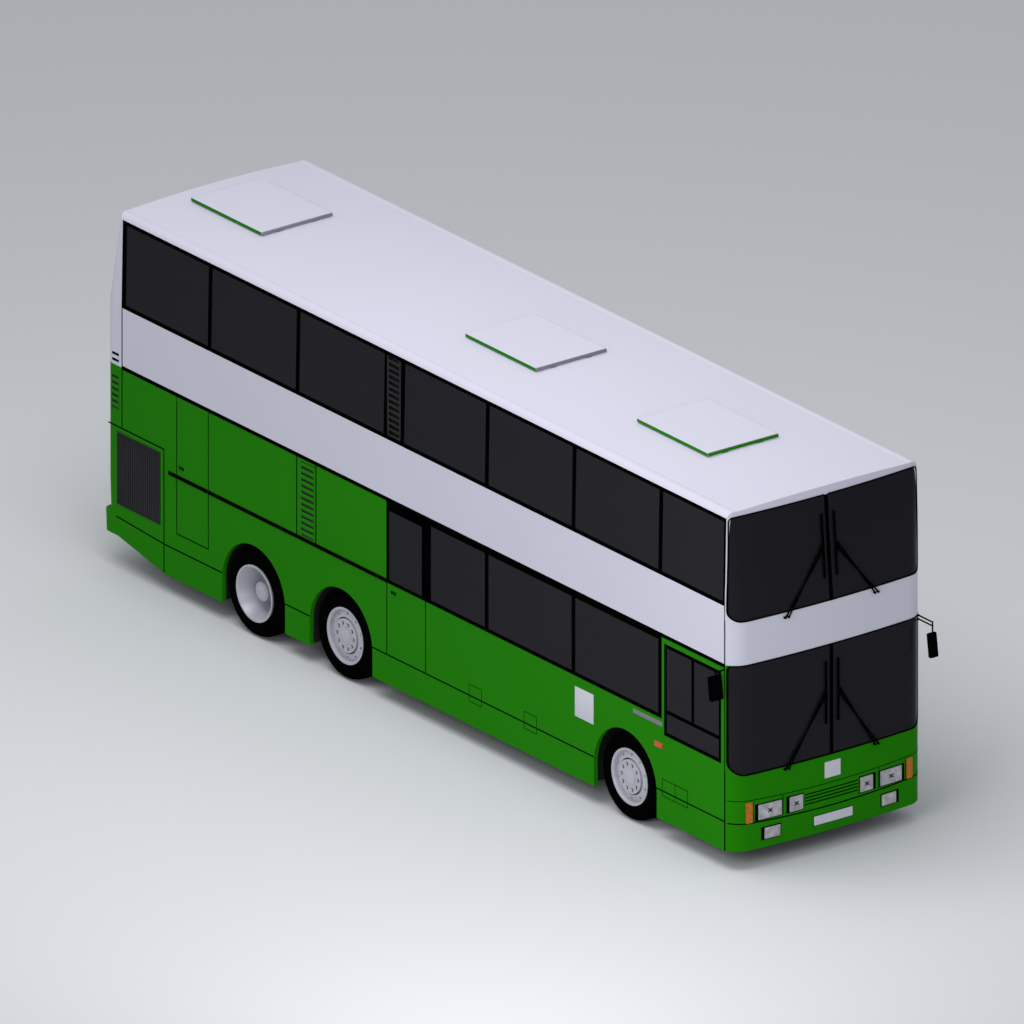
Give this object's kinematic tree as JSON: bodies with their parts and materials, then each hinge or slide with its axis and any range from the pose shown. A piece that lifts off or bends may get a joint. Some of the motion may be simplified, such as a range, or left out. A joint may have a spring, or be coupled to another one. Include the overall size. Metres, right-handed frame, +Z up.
{
  "type": "double-deck coach bus",
  "caption": "Double-deck coach with an axle at the front and two at the rear, folding entrance, side doors, engine cover and roof hatches that open.",
  "frame": {"origin": "on the ground, midway along and across the coach", "axes": "+X forwards, +Y to the left, +Z up"},
  "size_m": [10.9967, 2.793, 4.0603],
  "materials": {
    "body_green": "gloss paint",
    "body_white": "gloss paint",
    "roof_white": "gloss paint",
    "trim_black": "satin black",
    "glass": "dark tinted",
    "grille_black": "satin black",
    "lamp_clear": "clear lens",
    "lamp_orange": "orange lens",
    "lamp_red": "red lens",
    "floor_grey": "ribbed covering",
    "seat_cloth": "woven",
    "cabin_grey": "moulded",
    "chassis_black": "chassis paint",
    "engine_iron": "cast",
    "rim_silver": "painted silver",
    "tyre": "rubber"
  },
  "bodies": {
    "coach": {"side_lower_right": "body_green", "side_lower_left": "body_green", "side_upper_right": "body_white", "side_upper_left": "body_white", "front_bumper": "body_green", "front_lower": "body_green", "front_upper": "body_white", "rear_lower": "body_green", "rear_upper": "body_white", "rear_bumper": "body_green", "roof": "roof_white", "window_frames": "trim_black", "glazing": "glass", "grilles": "grille_black", "wheel_boxes": "chassis_black", "lower_floor": "floor_grey", "bulkhead": "cabin_grey", "stair": "floor_grey", "upper_floor": "floor_grey", "seats_upper": "seat_cloth", "seats_lower": "seat_cloth", "driver_seat": "seat_cloth", "dashboard": "cabin_grey", "steering_wheel": "trim_black", "chassis_frame": "chassis_black", "engine": "engine_iron", "front_axle": "chassis_black", "rear_axles": "chassis_black", "headlamps": "lamp_clear", "indicators": "lamp_orange", "rear_lamps": "lamp_red", "mirrors": "trim_black", "wipers": "trim_black"},
    "knuckle_right": {"knuckle_right": "chassis_black"},
    "knuckle_left": {"knuckle_left": "chassis_black"},
    "emergency_door": {"emergency_door": "body_green", "emergency_door_glass": "glass"},
    "service_door": {"service_door": "body_green"},
    "engine_cover": {"engine_cover": "body_green"},
    "entrance_front": {"entrance_front_leaf": "body_green", "entrance_front_glass": "glass"},
    "entrance_rear": {"entrance_rear_leaf": "body_green", "entrance_rear_glass": "glass"},
    "roof_hatch_front": {"roof_hatch_front": "roof_white"},
    "roof_hatch_middle": {"roof_hatch_middle": "roof_white"},
    "roof_hatch_rear": {"roof_hatch_rear": "roof_white"},
    "wheel_front_right": {"rim_front_right": "rim_silver", "tyre_front_right": "tyre"},
    "wheel_front_left": {"rim_front_left": "rim_silver", "tyre_front_left": "tyre"},
    "wheel_middle_right": {"rim_middle_right": "rim_silver", "tyre_middle_right": "tyre"},
    "wheel_middle_left": {"rim_middle_left": "rim_silver", "tyre_middle_left": "tyre"},
    "wheel_drive_right": {"rim_drive_right": "rim_silver", "tyre_drive_right": "tyre"},
    "wheel_drive_left": {"rim_drive_left": "rim_silver", "tyre_drive_left": "tyre"}
  },
  "joints": [
    {"name": "steer_right", "type": "hinge", "parent": "coach", "child": "knuckle_right", "pos_m": [3.494, -0.9, 0.48], "axis": [0, 0, 1], "range_deg": [-38, 38]},
    {"name": "steer_left", "type": "hinge", "parent": "coach", "child": "knuckle_left", "pos_m": [3.494, 0.9, 0.48], "axis": [0, 0, 1], "range_deg": [-38, 38]},
    {"name": "spin_front_right", "type": "hinge", "parent": "knuckle_right", "child": "wheel_front_right", "pos_m": [3.494, -1.07, 0.48], "axis": [0, 1, 0], "continuous": true},
    {"name": "spin_front_left", "type": "hinge", "parent": "knuckle_left", "child": "wheel_front_left", "pos_m": [3.494, 1.07, 0.48], "axis": [0, 1, 0], "continuous": true},
    {"name": "spin_middle_right", "type": "hinge", "parent": "coach", "child": "wheel_middle_right", "pos_m": [-1.39, -1.07, 0.48], "axis": [0, 1, 0], "continuous": true},
    {"name": "spin_middle_left", "type": "hinge", "parent": "coach", "child": "wheel_middle_left", "pos_m": [-1.39, 1.07, 0.48], "axis": [0, 1, 0], "continuous": true},
    {"name": "spin_drive_right", "type": "hinge", "parent": "coach", "child": "wheel_drive_right", "pos_m": [-2.89, -0.945, 0.48], "axis": [0, 1, 0], "continuous": true},
    {"name": "spin_drive_left", "type": "hinge", "parent": "coach", "child": "wheel_drive_left", "pos_m": [-2.89, 0.945, 0.48], "axis": [0, 1, 0], "continuous": true},
    {"name": "emergency_door_hinge", "type": "hinge", "parent": "coach", "child": "emergency_door", "pos_m": [0.06, -1.258, 1.4], "axis": [0, 0, 1], "range_deg": [0, 100]},
    {"name": "service_door_hinge", "type": "hinge", "parent": "coach", "child": "service_door", "pos_m": [-3.67, -1.258, 1.4], "axis": [0, 0, 1], "range_deg": [0, 110]},
    {"name": "engine_cover_hinge", "type": "hinge", "parent": "coach", "child": "engine_cover", "pos_m": [-5.438, 0, 1.56], "axis": [0, 1, 0], "range_deg": [0, 80]},
    {"name": "entrance_front_hinge", "type": "hinge", "parent": "coach", "child": "entrance_front", "pos_m": [5.104, 1.209, 1.2], "axis": [0, 0, 1], "range_deg": [0, 80]},
    {"name": "entrance_fold", "type": "hinge", "parent": "entrance_front", "child": "entrance_rear", "pos_m": [4.641, 1.253, 1.2], "axis": [0, 0, 1], "range_deg": [-160, 0]},
    {"name": "roof_hatch_front_hinge", "type": "hinge", "parent": "coach", "child": "roof_hatch_front", "pos_m": [3.918, -0.045, 4.034], "axis": [0, 1, 0], "range_deg": [0, 60]},
    {"name": "roof_hatch_middle_hinge", "type": "hinge", "parent": "coach", "child": "roof_hatch_middle", "pos_m": [0.968, -0.045, 4.034], "axis": [0, 1, 0], "range_deg": [0, 60]},
    {"name": "roof_hatch_rear_hinge", "type": "hinge", "parent": "coach", "child": "roof_hatch_rear", "pos_m": [-3.742, -0.045, 4.034], "axis": [0, 1, 0], "range_deg": [0, 60]}
  ],
  "couplings": [
    {"joint": "steer_left", "follows": "steer_right", "ratio": 1},
    {"joint": "entrance_fold", "follows": "entrance_front_hinge", "ratio": -2}
  ]
}
